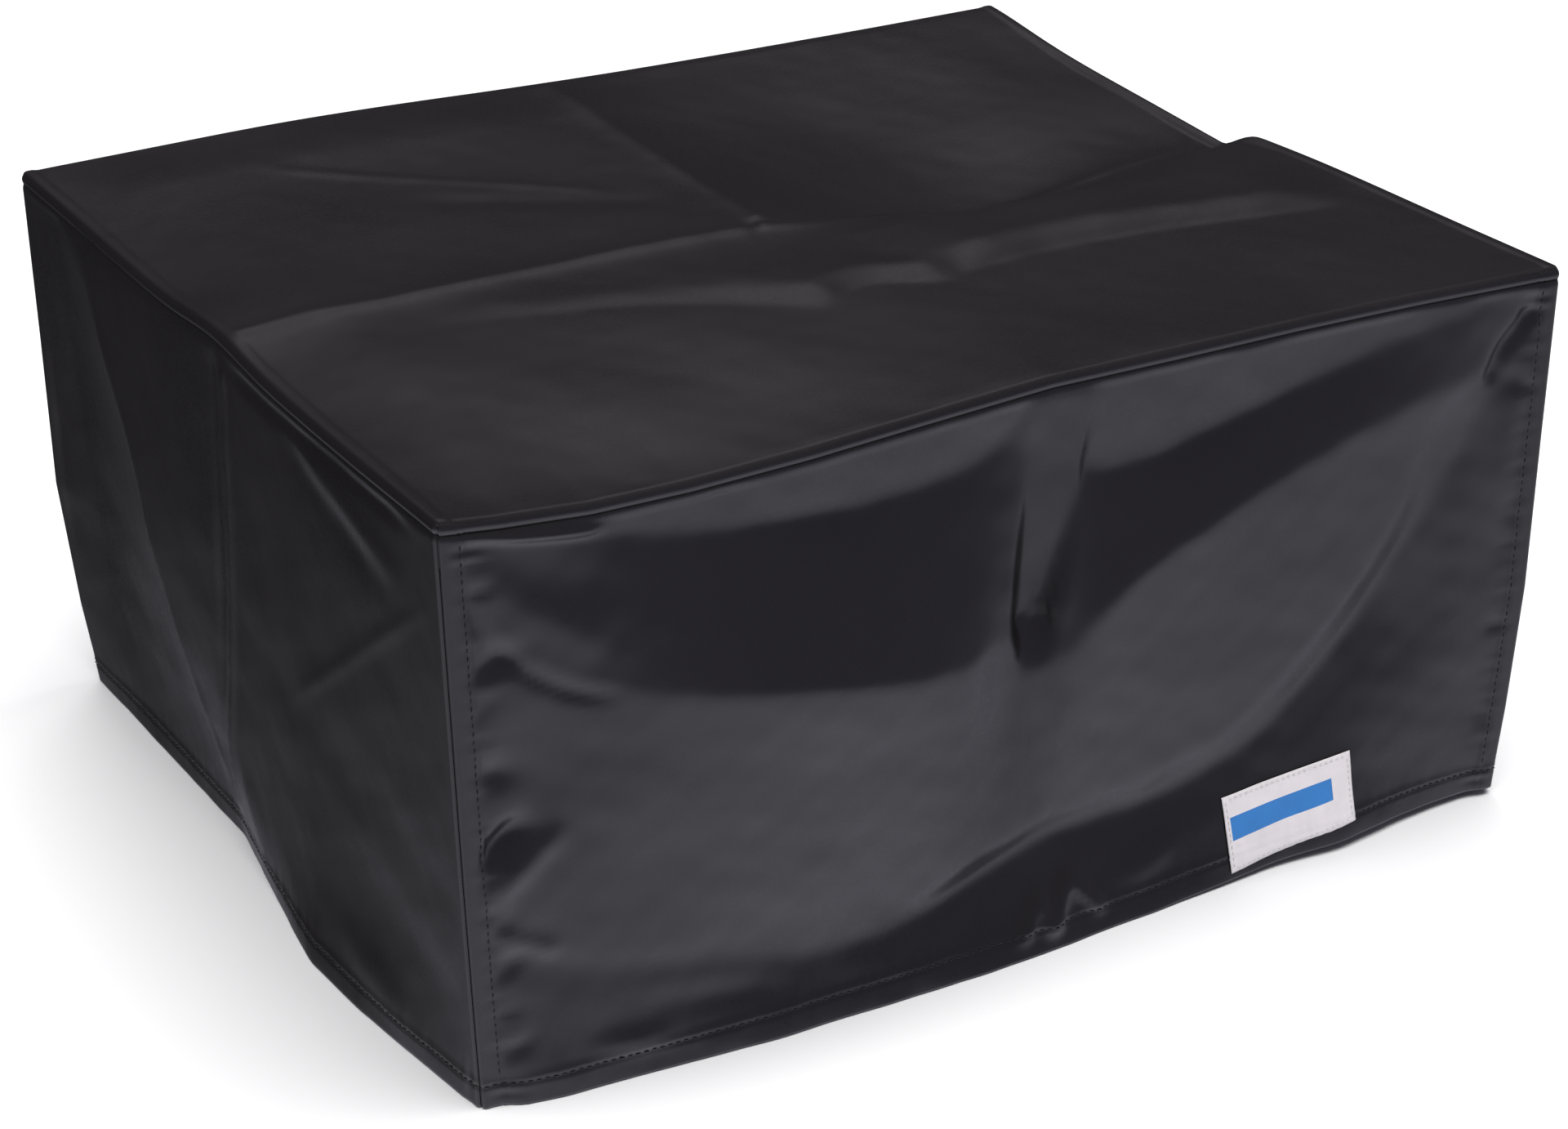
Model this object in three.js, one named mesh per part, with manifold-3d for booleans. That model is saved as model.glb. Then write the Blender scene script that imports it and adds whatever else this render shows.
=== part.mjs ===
// A fitted dust cover for a desktop printer: five panels of coated nylon sewn into an open-bottomed box.
// Millimetres, +Z up. The origin is the middle of the hem, on the surface that the cover stands on.
// The front is the -Y face, and the left panel is the one at -X.
//
// Every piece is laid out square first, as it is cut, and drawIn() then tapers the walls, which hang
// in a little between the top seam and the hem. The top panel and its seam stay square.
import * as THREE from "three";
import { mergeVertices } from "three/addons/utils/BufferGeometryUtils.js";
import Module from "manifold-3d";

const wasm = await Module();
wasm.setup();

// Driving dimensions.
const WIDTH = 500; // X, over the cloth at the top seam
const DEPTH = 430; // Y, over the cloth at the top seam
const HEIGHT = 244; // Z, hem to the upper face of the top panel
const DRAW_IN = 0.0286; // how much narrower the hem is than the top, as a share
const CLOTH = 0.8; // one layer of coated nylon with the air it holds
const GAP = 0.3; // between two layers that lie on each other
const ALLOWANCE = 10; // seam allowance turned inside along each sewn edge
const HEM = 12; // height of the turned-up hem
const THREAD = 0.5; // thickness of a row of stitches
const TOPSTITCH_INSET = 9; // from a vertical corner to its row of topstitching
const HEM_STITCH_Z = 9; // the hem's row of stitches above the ground
const TOP_SEAM_Z = HEIGHT - 5; // the row of stitches that joins the top panel to the walls
const LABEL = { width: 66, height: 34, thickness: 0.5, x: 133, z: 22.5, tilt: 4 }; // tilt in degrees
const LABEL_STITCH_INSET = 1.8;

// Derived sizes.
const LAYER = CLOTH + GAP; // pitch of stacked layers
const HALF_W = WIDTH / 2;
const HALF_D = DEPTH / 2;
const WALL_TOP = HEIGHT - LAYER; // the walls end just under the top panel
const FLANGE_END = HEIGHT - CLOTH - ALLOWANCE; // lower edge of the top panel's turned-down allowance
const TURNED = ALLOWANCE + GAP; // what a side panel's allowance takes of the front and back panels' width
const LEAN = 0.3; // how far a wall has hung in, at most, where the top panel's upright allowance ends

const nylon = new THREE.MeshStandardMaterial({ color: 0x242327, roughness: 0.42, metalness: 0 });
const blackThread = new THREE.MeshStandardMaterial({ color: 0x1b1b1e, roughness: 0.7, metalness: 0 });
const whiteSatin = new THREE.MeshStandardMaterial({ color: 0xe9e4e6, roughness: 0.5, metalness: 0 });
const whiteThread = new THREE.MeshStandardMaterial({ color: 0xdedade, roughness: 0.7, metalness: 0 });

// A closed geometry as a solid that can be joined and cut.
function solid(geometry) {
  const bare = geometry.index ? geometry.toNonIndexed() : geometry.clone();
  bare.deleteAttribute("normal");
  bare.deleteAttribute("uv");
  const merged = mergeVertices(bare, 1e-4);
  return new wasm.Manifold(
    new wasm.Mesh({
      numProp: 3,
      vertProperties: merged.attributes.position.array,
      triVerts: new Uint32Array(merged.index.array),
    }),
  );
}

// A box between two values on each axis.
function block([x0, x1], [y0, y1], [z0, z1]) {
  const box = new THREE.BoxGeometry(x1 - x0, y1 - y0, z1 - z0);
  return solid(box.translate((x0 + x1) / 2, (y0 + y1) / 2, (z0 + z1) / 2));
}

function join(pieces) {
  return pieces.reduce((whole, piece) => whole.add(piece));
}

// Tapers a geometry towards the hem: full size at the top seam, and smaller by DRAW_IN on the ground.
function drawIn(geometry) {
  const place = geometry.attributes.position;
  for (let i = 0; i < place.count; i++) {
    const share = 1 - DRAW_IN * (1 - place.getZ(i) / HEIGHT);
    place.setXY(i, place.getX(i) * share, place.getY(i) * share);
  }
  return geometry;
}

const cover = new THREE.Group();

function addPiece(name, made, material, shape = drawIn) {
  const { vertProperties, triVerts } = made.getMesh();
  const geometry = new THREE.BufferGeometry();
  geometry.setAttribute("position", new THREE.BufferAttribute(vertProperties, 3));
  geometry.setIndex(new THREE.BufferAttribute(triVerts, 1));
  const mesh = new THREE.Mesh(shape(geometry), material);
  mesh.geometry.computeVertexNormals();
  mesh.name = name;
  cover.add(mesh);
}

// Leaves a geometry square, for the pieces of the top.
function keepSquare(geometry) {
  return geometry;
}

// The span from one depth to another inside a wall's outer face, for the wall on the minus side
// (side -1) or the plus side (side 1) of an axis.
function inside(half, side, from, to) {
  return side < 0 ? [-half + from, -half + to] : [half - to, half - from];
}

// A span centred on the middle of the cover.
function centred(half) {
  return [-half, half];
}

const FIRST = [0, CLOTH]; // depths of the outer layer of cloth
const SECOND = [LAYER, LAYER + CLOTH]; // depths of the layer behind it
const THIRD = [2 * LAYER, 2 * LAYER + CLOTH]; // depths of the layer behind that
const BEHIND_TWO = [2 * LAYER, 2 * LAYER + THREAD]; // depths of stitches on the inner face of two layers
const BEHIND_THREE = [3 * LAYER, 3 * LAYER + THREAD]; // and on the inner face of three
const ON_TOP = [-GAP - THREAD, -GAP]; // depths of stitches on the outer face

// Depths that leave room for a wall that leans in towards an upright piece.
function clearOfLean([from, to]) {
  return [from + LEAN, to + LEAN];
}

// The front or back panel: a flat sheet whose lower edge is turned up inside as the hem.
function endPanel(side) {
  const hemSpan = centred(HALF_W - TURNED);
  return join([
    block(centred(HALF_W), inside(HALF_D, side, ...FIRST), [0, WALL_TOP]),
    block(hemSpan, inside(HALF_D, side, ...SECOND), [0, HEM]),
    block(hemSpan, inside(HALF_D, side, 0, LAYER + CLOTH), [0, CLOTH]),
  ]);
}

// A side panel: a sheet with its hem turned up, and an allowance turned in behind each end panel.
function sidePanel(side) {
  const run = centred(HALF_D - LAYER);
  const flange = (end) =>
    block(inside(HALF_W, side, 0, ALLOWANCE), inside(HALF_D, end, ...SECOND), [0, WALL_TOP]);
  return join([
    block(inside(HALF_W, side, ...FIRST), run, [0, WALL_TOP]),
    block(inside(HALF_W, side, ...SECOND), run, [0, HEM]),
    block(inside(HALF_W, side, 0, LAYER + CLOTH), run, [0, CLOTH]),
    flange(-1),
    flange(1),
  ]);
}

// The top panel: a sheet with an allowance turned straight down inside the walls, all the way round.
// At the ends it lies behind the side panels' allowances, so it is one layer deeper there.
function topPanel() {
  const [endFace, endBack] = clearOfLean(THIRD);
  const [sideFace, sideBack] = clearOfLean(SECOND);
  const height = [FLANGE_END, HEIGHT - CLOTH / 2];
  const outer = block(centred(HALF_W - sideFace), centred(HALF_D - endFace), height);
  const inner = block(centred(HALF_W - sideBack), centred(HALF_D - endBack), [0, HEIGHT]);
  return block(centred(HALF_W), centred(HALF_D), [HEIGHT - CLOTH, HEIGHT]).add(outer.subtract(inner));
}

// The row of stitches that joins the top panel's allowance to the wall, inside the cover.
function topSeamStitching(axis, side) {
  const height = [TOP_SEAM_Z, TOP_SEAM_Z + THREAD];
  if (axis === "y")
    return block(centred(HALF_W - TURNED), inside(HALF_D, side, ...clearOfLean(BEHIND_THREE)), height);
  return block(inside(HALF_W, side, ...clearOfLean(BEHIND_TWO)), centred(HALF_D - TURNED), height);
}

// The row of stitches that joins a side panel to an end panel, hidden inside the corner.
function cornerSeamStitching(side, end) {
  const height = [HEM + GAP, FLANGE_END - GAP];
  return block(inside(HALF_W, side, LAYER, LAYER + THREAD), inside(HALF_D, end, ...BEHIND_TWO), height);
}

// The topstitching that holds the corner's allowance flat, on the face of the end panel.
function cornerTopstitching(side, end) {
  const across = inside(HALF_W, side, TOPSTITCH_INSET, TOPSTITCH_INSET + THREAD);
  return block(across, inside(HALF_D, end, ...ON_TOP), [HEM, WALL_TOP - 4]);
}

// A flat ring round a rectangle, in the XY plane and as thick as a row of stitches.
function stitchedRing(halfX, halfY) {
  const outline = (x, y) => [[-x, -y], [x, -y], [x, y], [-x, y]].map((p) => new THREE.Vector2(...p));
  const ring = new THREE.Shape(outline(halfX, halfY));
  ring.holes.push(new THREE.Path(outline(halfX - THREAD, halfY - THREAD)));
  return new THREE.ExtrudeGeometry(ring, { depth: THREAD, bevelEnabled: false });
}

// The hem's stitching runs once round the outside of all four walls.
function hemStitching() {
  const out = GAP + THREAD;
  return solid(stitchedRing(HALF_W + out, HALF_D + out).translate(0, 0, HEM_STITCH_Z));
}

// Stands a geometry made in the XY plane up against the front panel, tilted as the label is,
// with its back that far in front of the cloth.
function onLabel(geometry, distance) {
  const tilt = THREE.MathUtils.degToRad(LABEL.tilt);
  return solid(
    geometry
      .rotateZ(tilt)
      .rotateX(Math.PI / 2)
      .translate(LABEL.x, -HALF_D - distance, LABEL.z),
  );
}

// The label lies over the hem's stitches, and its own stitches lie on its face.
const LABEL_BACK = 2 * GAP + THREAD;
const LABEL_FACE = LABEL_BACK + LABEL.thickness;

function label() {
  const plate = new THREE.BoxGeometry(LABEL.width, LABEL.height, LABEL.thickness);
  return onLabel(plate.translate(0, 0, LABEL.thickness / 2), LABEL_BACK);
}

function labelStitching() {
  const ring = stitchedRing(LABEL.width / 2 - LABEL_STITCH_INSET, LABEL.height / 2 - LABEL_STITCH_INSET);
  return onLabel(ring, LABEL_FACE + GAP);
}

const ENDS = { front: -1, back: 1 };
const SIDES = { left: -1, right: 1 };

addPiece("top_panel", topPanel(), nylon, keepSquare);
for (const [name, end] of Object.entries(ENDS)) {
  addPiece(`${name}_panel`, endPanel(end), nylon);
  addPiece(`top_${name}_seam_stitching`, topSeamStitching("y", end), blackThread, keepSquare);
}
for (const [name, side] of Object.entries(SIDES)) {
  addPiece(`${name}_panel`, sidePanel(side), nylon);
  addPiece(`top_${name}_seam_stitching`, topSeamStitching("x", side), blackThread, keepSquare);
}
for (const [endName, end] of Object.entries(ENDS))
  for (const [sideName, side] of Object.entries(SIDES)) {
    const corner = `${endName}_${sideName}_corner`;
    addPiece(`${corner}_seam_stitching`, cornerSeamStitching(side, end), blackThread);
    addPiece(`${corner}_topstitching`, cornerTopstitching(side, end), blackThread);
  }
addPiece("hem_stitching", hemStitching(), blackThread);
addPiece("label", label(), whiteSatin);
addPiece("label_stitching", labelStitching(), whiteThread);

export default cover;
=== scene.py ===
import math

import bmesh
import bpy
import numpy as np
from mathutils import Matrix, Vector


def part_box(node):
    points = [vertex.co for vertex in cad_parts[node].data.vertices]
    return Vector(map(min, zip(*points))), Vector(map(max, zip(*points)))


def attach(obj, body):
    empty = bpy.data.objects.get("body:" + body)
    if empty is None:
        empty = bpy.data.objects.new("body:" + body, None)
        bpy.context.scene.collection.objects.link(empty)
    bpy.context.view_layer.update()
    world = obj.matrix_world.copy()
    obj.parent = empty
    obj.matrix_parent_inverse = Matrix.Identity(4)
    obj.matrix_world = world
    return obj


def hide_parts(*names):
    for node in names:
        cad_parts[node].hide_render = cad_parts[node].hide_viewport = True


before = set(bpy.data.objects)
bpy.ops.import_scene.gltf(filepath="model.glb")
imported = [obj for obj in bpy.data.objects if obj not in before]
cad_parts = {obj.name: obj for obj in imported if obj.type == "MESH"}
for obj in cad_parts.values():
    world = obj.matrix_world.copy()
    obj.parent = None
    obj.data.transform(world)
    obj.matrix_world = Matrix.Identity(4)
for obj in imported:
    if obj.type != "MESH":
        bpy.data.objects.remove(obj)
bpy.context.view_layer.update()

MM = 0.001

# Sizes from the frame.
TOP_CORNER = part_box("top_panel")[1]
HALF_W = TOP_CORNER.x / MM
HALF_D = TOP_CORNER.y / MM
HEIGHT = TOP_CORNER.z / MM
HEM_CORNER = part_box("hem_stitching")[1]
LABEL_LOW, LABEL_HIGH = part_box("label")

# Sewing.
HEM_STITCH_V = HEM_CORNER.z / MM
HEM = 12.0  # height of the turned-up hem
ALLOWANCE = 10.0  # seam allowance turned inside
TOP_SEAM = 5.0  # how far below the top edge the top panel is sewn to the walls
TOPSTITCH = 9.0  # from a vertical corner to the row of stitches beside it
CLOTH = 0.45  # one layer of coated nylon
THREAD_STANDS = 0.8  # how far the hem's stitching stands out of the plain cloth in the frame
HEM_SHARE = (HEM_CORNER.x / MM - THREAD_STANDS) / HALF_W
DRAW_IN = (1 - HEM_SHARE) / (1 - HEM_STITCH_V / HEIGHT)  # how much narrower the hem is than the top
EDGE_RADIUS = 3.2  # of the rounded edges of the cover
EDGE = HEIGHT - TOP_SEAM


# ---------------------------------------------------------------- shaping tools

def smooth(t):
    """0 below 0, 1 above 1, and an even step between."""
    t = np.clip(t, 0, 1)
    return t * t * (3 - 2 * t)


def bell(distance, width):
    return np.exp(-((distance / width) ** 2))


def through(points, steps=12):
    """A smooth curve through a few points."""
    p = np.array(points, float)
    p = np.vstack([2 * p[0] - p[1], p, 2 * p[-1] - p[-2]])
    t = np.linspace(0, 1, steps, endpoint=False)[:, None]
    parts = []
    for a, b, c, d in zip(p, p[1:], p[2:], p[3:]):
        bend = (2 * a - 5 * b + 4 * c - d) * t**2 + (3 * b - a - 3 * c + d) * t**3
        parts.append(b + 0.5 * ((c - a) * t + bend))
    return np.vstack([*parts, p[-2:-1]])


def ripples(u, v, size, seed, waves=14):
    """Soft random unevenness of about the given size, between about -1 and 1."""
    rng = np.random.default_rng(seed)
    total = np.zeros(np.broadcast(u, v).shape)
    for angle, stretch, phase in rng.uniform(0, 1, (waves, 3)):
        k = 2 * math.pi / (size * (0.6 + 0.9 * stretch))
        way = 2 * math.pi * angle
        total += np.sin(k * (u * math.cos(way) + v * math.sin(way)) + 2 * math.pi * phase)
    return total / math.sqrt(waves)


class Relief:
    """How far a panel's cloth stands out of its flat plane, on a grid of 1 mm."""

    def __init__(self, half_u, low_v, high_v):
        self.low = np.array([-half_u, low_v])
        u = np.arange(-half_u, half_u + 1)
        v = np.arange(low_v, high_v + 1)
        self.u, self.v = np.meshgrid(u, v)
        self.out = np.zeros_like(self.u)

    def near(self, points):
        """Each grid point's distance from a curve, its side of it (1 is left), and its place along it."""
        curve = through(points)
        best = np.full(self.u.shape, 1e9)
        side = np.zeros_like(best)
        along = np.zeros_like(best)
        count = len(curve) - 1
        for i, (a, b) in enumerate(zip(curve, curve[1:])):
            step = b - a
            du, dv = self.u - a[0], self.v - a[1]
            t = np.clip((du * step[0] + dv * step[1]) / (step @ step), 0, 1)
            gap = (du - t * step[0]) ** 2 + (dv - t * step[1]) ** 2
            closer = gap < best
            best = np.where(closer, gap, best)
            side = np.where(closer, np.sign(step[0] * dv - step[1] * du), side)
            along = np.where(closer, (i + t) / count, along)
        return np.sqrt(best), side, along

    def fold(self, points, height, left, right=None, sharp=False, taper=0.2):
        """Adds a ridge, or a valley if height is negative, that dies out over a share of each end."""
        distance, side, along = self.near(points)
        width = np.where(side > 0, left, left if right is None else right)
        shape = np.exp(-distance / width) if sharp else bell(distance, width)
        ends = smooth(along / taper) * smooth((1 - along) / taper) if taper else 1
        self.out += height * shape * ends

    def step(self, points, height, rise, decay, taper=0.2):
        """Adds a lip: it rises over a short way on the right of a curve, and dies out on its left."""
        distance, side, along = self.near(points)
        signed = distance * np.where(side >= 0, 1, -1)
        climb = np.sin(np.clip(signed / rise + 1, 0, 1) * math.pi / 2)
        shape = climb * np.exp(-np.clip(signed, 0, None) / decay)
        ends = smooth(along / taper) * smooth((1 - along) / taper)
        self.out += height * shape * ends

    def bump(self, u, v, height, wide, tall, turn=0):
        """Adds a rounded bump or dent, turned anticlockwise by an angle in degrees."""
        c, s = math.cos(math.radians(turn)), math.sin(math.radians(turn))
        du, dv = self.u - u, self.v - v
        self.out += height * np.exp(-(((du * c + dv * s) / wide) ** 2) - ((dv * c - du * s) / tall) ** 2)

    def levels(self, curves):
        """Sets the profile of every column from curves of (u, v, out), the lowest first."""
        columns = self.u[0]
        rows = self.v[:, 0]
        smoothed = [through(curve) for curve in curves]
        heights = [np.interp(columns, c[:, 0], c[:, 1]) for c in smoothed]
        outs = [np.interp(columns, c[:, 0], c[:, 2]) for c in smoothed]
        for i, (v, out) in enumerate(zip(np.array(heights).T, np.array(outs).T)):
            self.out[:, i] += np.interp(rows, np.maximum.accumulate(v), out)

    def uprights(self, curves):
        """Sets the profile of every row from upright curves of (u, v, out), the lowest u first."""
        columns = self.u[0]
        rows = self.v[:, 0]
        smoothed = [through(sorted(curve, key=lambda point: point[1])) for curve in curves]
        places = [np.interp(rows, c[:, 1], c[:, 0]) for c in smoothed]
        outs = [np.interp(rows, c[:, 1], c[:, 2]) for c in smoothed]
        for j, (u, out) in enumerate(zip(np.array(places).T, np.array(outs).T)):
            self.out[j] += np.interp(columns, u, out)

    def soften(self, size):
        """Blurs the relief over a size in millimetres."""
        reach = int(3 * size)
        kernel = bell(np.arange(-reach, reach + 1), size * math.sqrt(2))
        kernel /= kernel.sum()
        for axis in (0, 1):
            ends = [(reach, reach) if a == axis else (0, 0) for a in (0, 1)]
            padded = np.pad(self.out, ends, mode="edge")
            self.out = np.apply_along_axis(np.convolve, axis, padded, kernel, mode="valid")

    def at(self, u, v):
        """The relief at any flat coordinates."""
        x = np.clip(u - self.low[0], 0, self.out.shape[1] - 1.001)
        y = np.clip(v - self.low[1], 0, self.out.shape[0] - 1.001)
        i, j = x.astype(int), y.astype(int)
        fx, fy = x - i, y - j
        lower = self.out[j, i] * (1 - fx) + self.out[j, i + 1] * fx
        upper = self.out[j + 1, i] * (1 - fx) + self.out[j + 1, i + 1] * fx
        return lower * (1 - fy) + upper * fy


# ---------------------------------------------------------------- the folds of each panel

def front_relief():
    """The front hangs in two swags either side of the packing crease, over a hem that flares."""
    relief = Relief(HALF_W, 0, HEIGHT)
    seam = [(-250, 240, 0), (0, 240, 0), (250, 240, 0)]
    band = [(-250, 239, 0), (-200, 234, -1), (-150, 221, -3), (-100, 214, -4), (-60, 212, -4),
            (-25, 217, -4), (-6, 232, -2), (6, 238, -1), (14, 214, -5), (26, 200, -6), (56, 198, -6),
            (100, 208, -5), (150, 220, -3), (200, 231, -1), (250, 239, 0)]
    ridge = [(-250, 228, 0), (-240, 206, 0), (-226, 188, 2), (-205, 175, 5), (-185, 168, 10),
             (-160, 162, 16), (-112, 155, 24), (-70, 147, 24), (-40, 144, 18), (-16, 142, 7),
             (0, 126, 4), (12, 131, 8), (26, 146, 11), (42, 159, 12), (90, 177, 8.5), (142, 191, 5.5),
             (196, 201, 3), (212, 202, 1), (225, 206, -1), (250, 226, 0)]
    brink = [(-250, 94, 0), (-225, 73, 2.5), (-200, 59, 5), (-152, 50, 7), (-104, 39, 8),
             (-66, 40, 7.5), (-38, 46, 7), (0, 54, 2), (32, 56, -1), (66, 60, -1.5), (106, 73, -1),
             (131, 91, -1.5), (157, 115, -2), (180, 147, -2.5), (200, 184, -2), (212, 200, 0),
             (225, 204, -1), (250, 210, 0)]
    valley = [(-250, 82, 0), (-225, 63, 1.5), (-200, 50, 3.5), (-153, 40, 5.5), (-104, 29, 7),
              (-64, 30, 6), (-36, 36, 2), (0, 44, -2), (34, 45, -5), (68, 46, -5.5),
              (112, 58, -5.5), (138, 75, -7), (163, 97, -8.5), (187, 128, -9), (206, 160, -6.5),
              (216, 184, -3.5), (226, 198, -2), (250, 205, 0)]
    hem = [(-250, 0, 3), (-200, 0, 9), (-119, 0, 14), (-27, 0, 15), (40, 0, 11), (102, 0, 7),
           (135, 0, 6), (165, 0, 7), (200, 0, 1), (250, 0, -3)]
    relief.levels([hem, valley, brink, ridge, band, seam])
    relief.soften(2.6)
    # the packing crease holds the cloth back between the two swags
    crease = np.interp(relief.v, [0, 130, 150, 165, 200, 240], [-2, -3, -2, 1, 8, 10])
    half = np.interp(relief.v, [0, 125, 148, 165, 200, 240], [0, 2, 5, 7, 10, 12])
    pinch = 1 - smooth((np.abs(relief.u - crease) - half) / 7)
    pinch = pinch * smooth((relief.v - 120) / 24) * smooth((243 - relief.v) / 10)
    held = np.interp(relief.v, [0, 124, 146, 205, 240], [4, 4, -4, -2, 0.5])
    relief.out += (held - relief.out) * pinch
    relief.fold([(-14, 136), (-5, 143), (6, 152)], 0.9, 2.5)
    relief.fold([(-9, 118), (-8, 85), (-6, 50)], 0.6, 3)
    relief.fold([(13, 118), (12, 85), (11, 52)], 0.6, 3)
    # folds out of the top corners
    relief.fold([(-249, 241), (-230, 237), (-205, 234), (-180, 233)], 2.2, 2.5)
    relief.fold([(-247, 240), (-241, 214), (-230, 192), (-206, 172), (-180, 164)], -1.6, 3.0, 3.5)
    relief.fold([(-243, 226), (-215, 205), (-185, 186)], 1.2, 8)
    relief.fold([(244, 232), (226, 214), (218, 196)], -2.6, 4)
    relief.fold([(240, 214), (232, 170), (234, 120)], 1.6, 6)
    # puckers beside the left corner's topstitching, and small bumps above the hem
    for v, out, wide, tall, turn in ((215, -1.6, 6, 3, 30), (187, -3.0, 11, 5, 18), (170, -1.2, 6, 3, 40),
                                     (142, -2.6, 8, 6, 10), (78, -1.0, 7, 3, 35), (60, -1.4, 9, 4, 25),
                                     (41, -0.9, 6, 3, 10), (24, -1.3, 9, 3.5, 30)):
        relief.bump(-250 + TOPSTITCH + 0.7 * wide, v, out, wide, tall, turn)
    relief.fold([(-250, 98), (-241, 108), (-220, 124)], -4.4, 5, taper=0.25)
    relief.fold([(-249, 86), (-234, 95), (-206, 118)], 2.2, 5)
    relief.fold([(-249, 84), (-234, 72), (-210, 60)], 1.6, 4)
    for v, out, tall in ((228, -1.8, 6), (196, -1.6, 4), (138, -1.5, 6), (84, -1.0, 4), (40, -0.9, 4)):
        relief.bump(237, v, out, 7, tall, -25)
    relief.bump(-186, 15, 1.8, 14, 5, -6)
    relief.bump(-150, 24, -1.2, 26, 6, -10)
    relief.fold([(-14, 4), (-5, 12), (2, 20), (8, 10), (18, 24), (30, 14), (38, 6)], 3.2, 4)
    relief.bump(60, 22, 1.6, 20, 7, 12)
    relief.out += 0.35 * ripples(relief.u, relief.v, 60, 11) + 0.10 * ripples(relief.u, relief.v, 22, 12)
    return relief


def left_relief():
    """The left side: a packing crease down the middle and a long fold from the back corner."""
    relief = Relief(HALF_D, 0, HEIGHT)
    front_edge = [(-216, 0, 0), (-216, 120, 0), (-216, 244, 0)]
    front_half = [(-125, 0, 11), (-120, 50, 5), (-110, 130, 2.5), (-100, 244, 0)]
    belly = [(-82, 0, 14), (-80, 40, 8), (-70, 130, 3.5), (-60, 244, 0)]
    crease = [(-24, 0, 6), (4, 40, 5), (12, 80, 4), (-5, 160, 2.5), (-12, 244, 0)]
    ridge = [(34, 0, -2.5), (50, 42, -0.5), (60, 56, 1), (83, 114, 6), (97, 159, 6.5), (139, 221, 4),
             (150, 244, 0)]
    hollow = [(120, 0, -1), (160, 50, -2), (176, 120, -3), (178, 180, -2.5), (176, 225, -1), (176, 244, 0)]
    back_edge = [(216, 0, 0), (216, 120, -1), (216, 244, 0)]
    relief.uprights([front_edge, front_half, belly, crease, ridge, hollow, back_edge])
    relief.soften(3)
    relief.fold([(-14, 238), (-7, 160), (8, 85), (30, 12)], 1.6, 5, 4, sharp=True, taper=0.05)
    relief.fold([(-4, 238), (3, 160), (18, 85), (40, 18)], -1.0, 5, 4, taper=0.05)
    relief.fold([(139, 221), (97, 159), (83, 114), (60, 56), (30, 14)], 1.0, 4, 5, sharp=True, taper=0.12)
    relief.fold([(-212, 212), (-165, 182), (-105, 140), (-50, 102)], 0.5, 3, taper=0.3)
    relief.fold([(-62, 236), (-100, 228), (-146, 216), (-190, 206)], 1.1, 6, taper=0.35)
    relief.fold([(-60, 228), (-96, 218), (-140, 205), (-180, 195)], -0.6, 7, taper=0.35)
    relief.bump(-140, 20, 1.6, 36, 11, 14)
    relief.bump(-170, 48, -0.6, 40, 12, 14)
    relief.fold([(-8, 233), (-100, 234), (-200, 233)], -1.6, 4)
    relief.out += 0.20 * ripples(relief.u, relief.v, 55, 21) + 0.05 * ripples(relief.u, relief.v, 20, 22)
    return relief


def right_relief():
    """The right side, which hangs much as the left does."""
    relief = Relief(HALF_D, 0, HEIGHT)
    relief.fold([(10, 238), (4, 160), (-4, 85), (-6, 10)], 1.6, 5, 5, sharp=True, taper=0.08)
    relief.fold([(-200, 232), (-170, 180), (-130, 110), (-90, 50), (-60, 8)], 6, 26, 14, taper=0.15)
    relief.fold([(205, 226), (150, 176), (90, 140), (30, 128)], 3.5, 20, 10)
    relief.fold([(190, 60), (120, 44), (60, 50), (10, 74)], -3, 16, 9)
    relief.bump(90, 0, 9, 70, 44)
    relief.bump(-150, 0, 4, 50, 40)
    relief.fold([(190, 233), (20, 234), (-190, 233)], -1.4, 4)
    relief.out += 0.4 * ripples(relief.u, relief.v, 55, 31) + 0.14 * ripples(relief.u, relief.v, 20, 32)
    return relief


def back_relief():
    """The back: two shallow swags and a flared hem."""
    relief = Relief(HALF_W, 0, HEIGHT)
    seam = [(-250, 240, 0), (0, 240, 0), (250, 240, 0)]
    ridge = [(-250, 225, 0), (-190, 180, 6), (-110, 150, 9), (-30, 156, 7), (0, 160, 5),
             (40, 150, 8), (120, 136, 11), (190, 168, 7), (250, 220, 0)]
    valley = [(-250, 70, 0), (-170, 48, -2), (-80, 60, -3), (0, 74, -4), (90, 48, -1),
              (180, 52, -2), (250, 80, 0)]
    hem = [(-250, 0, 1), (-180, 0, 7), (-80, 0, 4), (0, 0, -2), (90, 0, 8), (180, 0, 10), (250, 0, 2)]
    relief.levels([hem, valley, ridge, seam])
    relief.soften(7)
    relief.fold([(-6, 238), (-2, 170), (2, 90), (4, 10)], 1.6, 5, 5, sharp=True, taper=0.06)
    relief.fold([(-240, 228), (-190, 200), (-120, 190)], 1.5, 8)
    relief.fold([(240, 230), (200, 196), (140, 178)], 1.5, 8)
    for v in (212, 180, 150, 112, 78, 46):
        relief.bump(-237, v, -1.3, 8, 6, 20)
        relief.bump(237, v + 9, -1.3, 8, 6, -20)
    relief.out += 0.4 * ripples(relief.u, relief.v, 60, 41) + 0.14 * ripples(relief.u, relief.v, 22, 42)
    return relief


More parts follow.
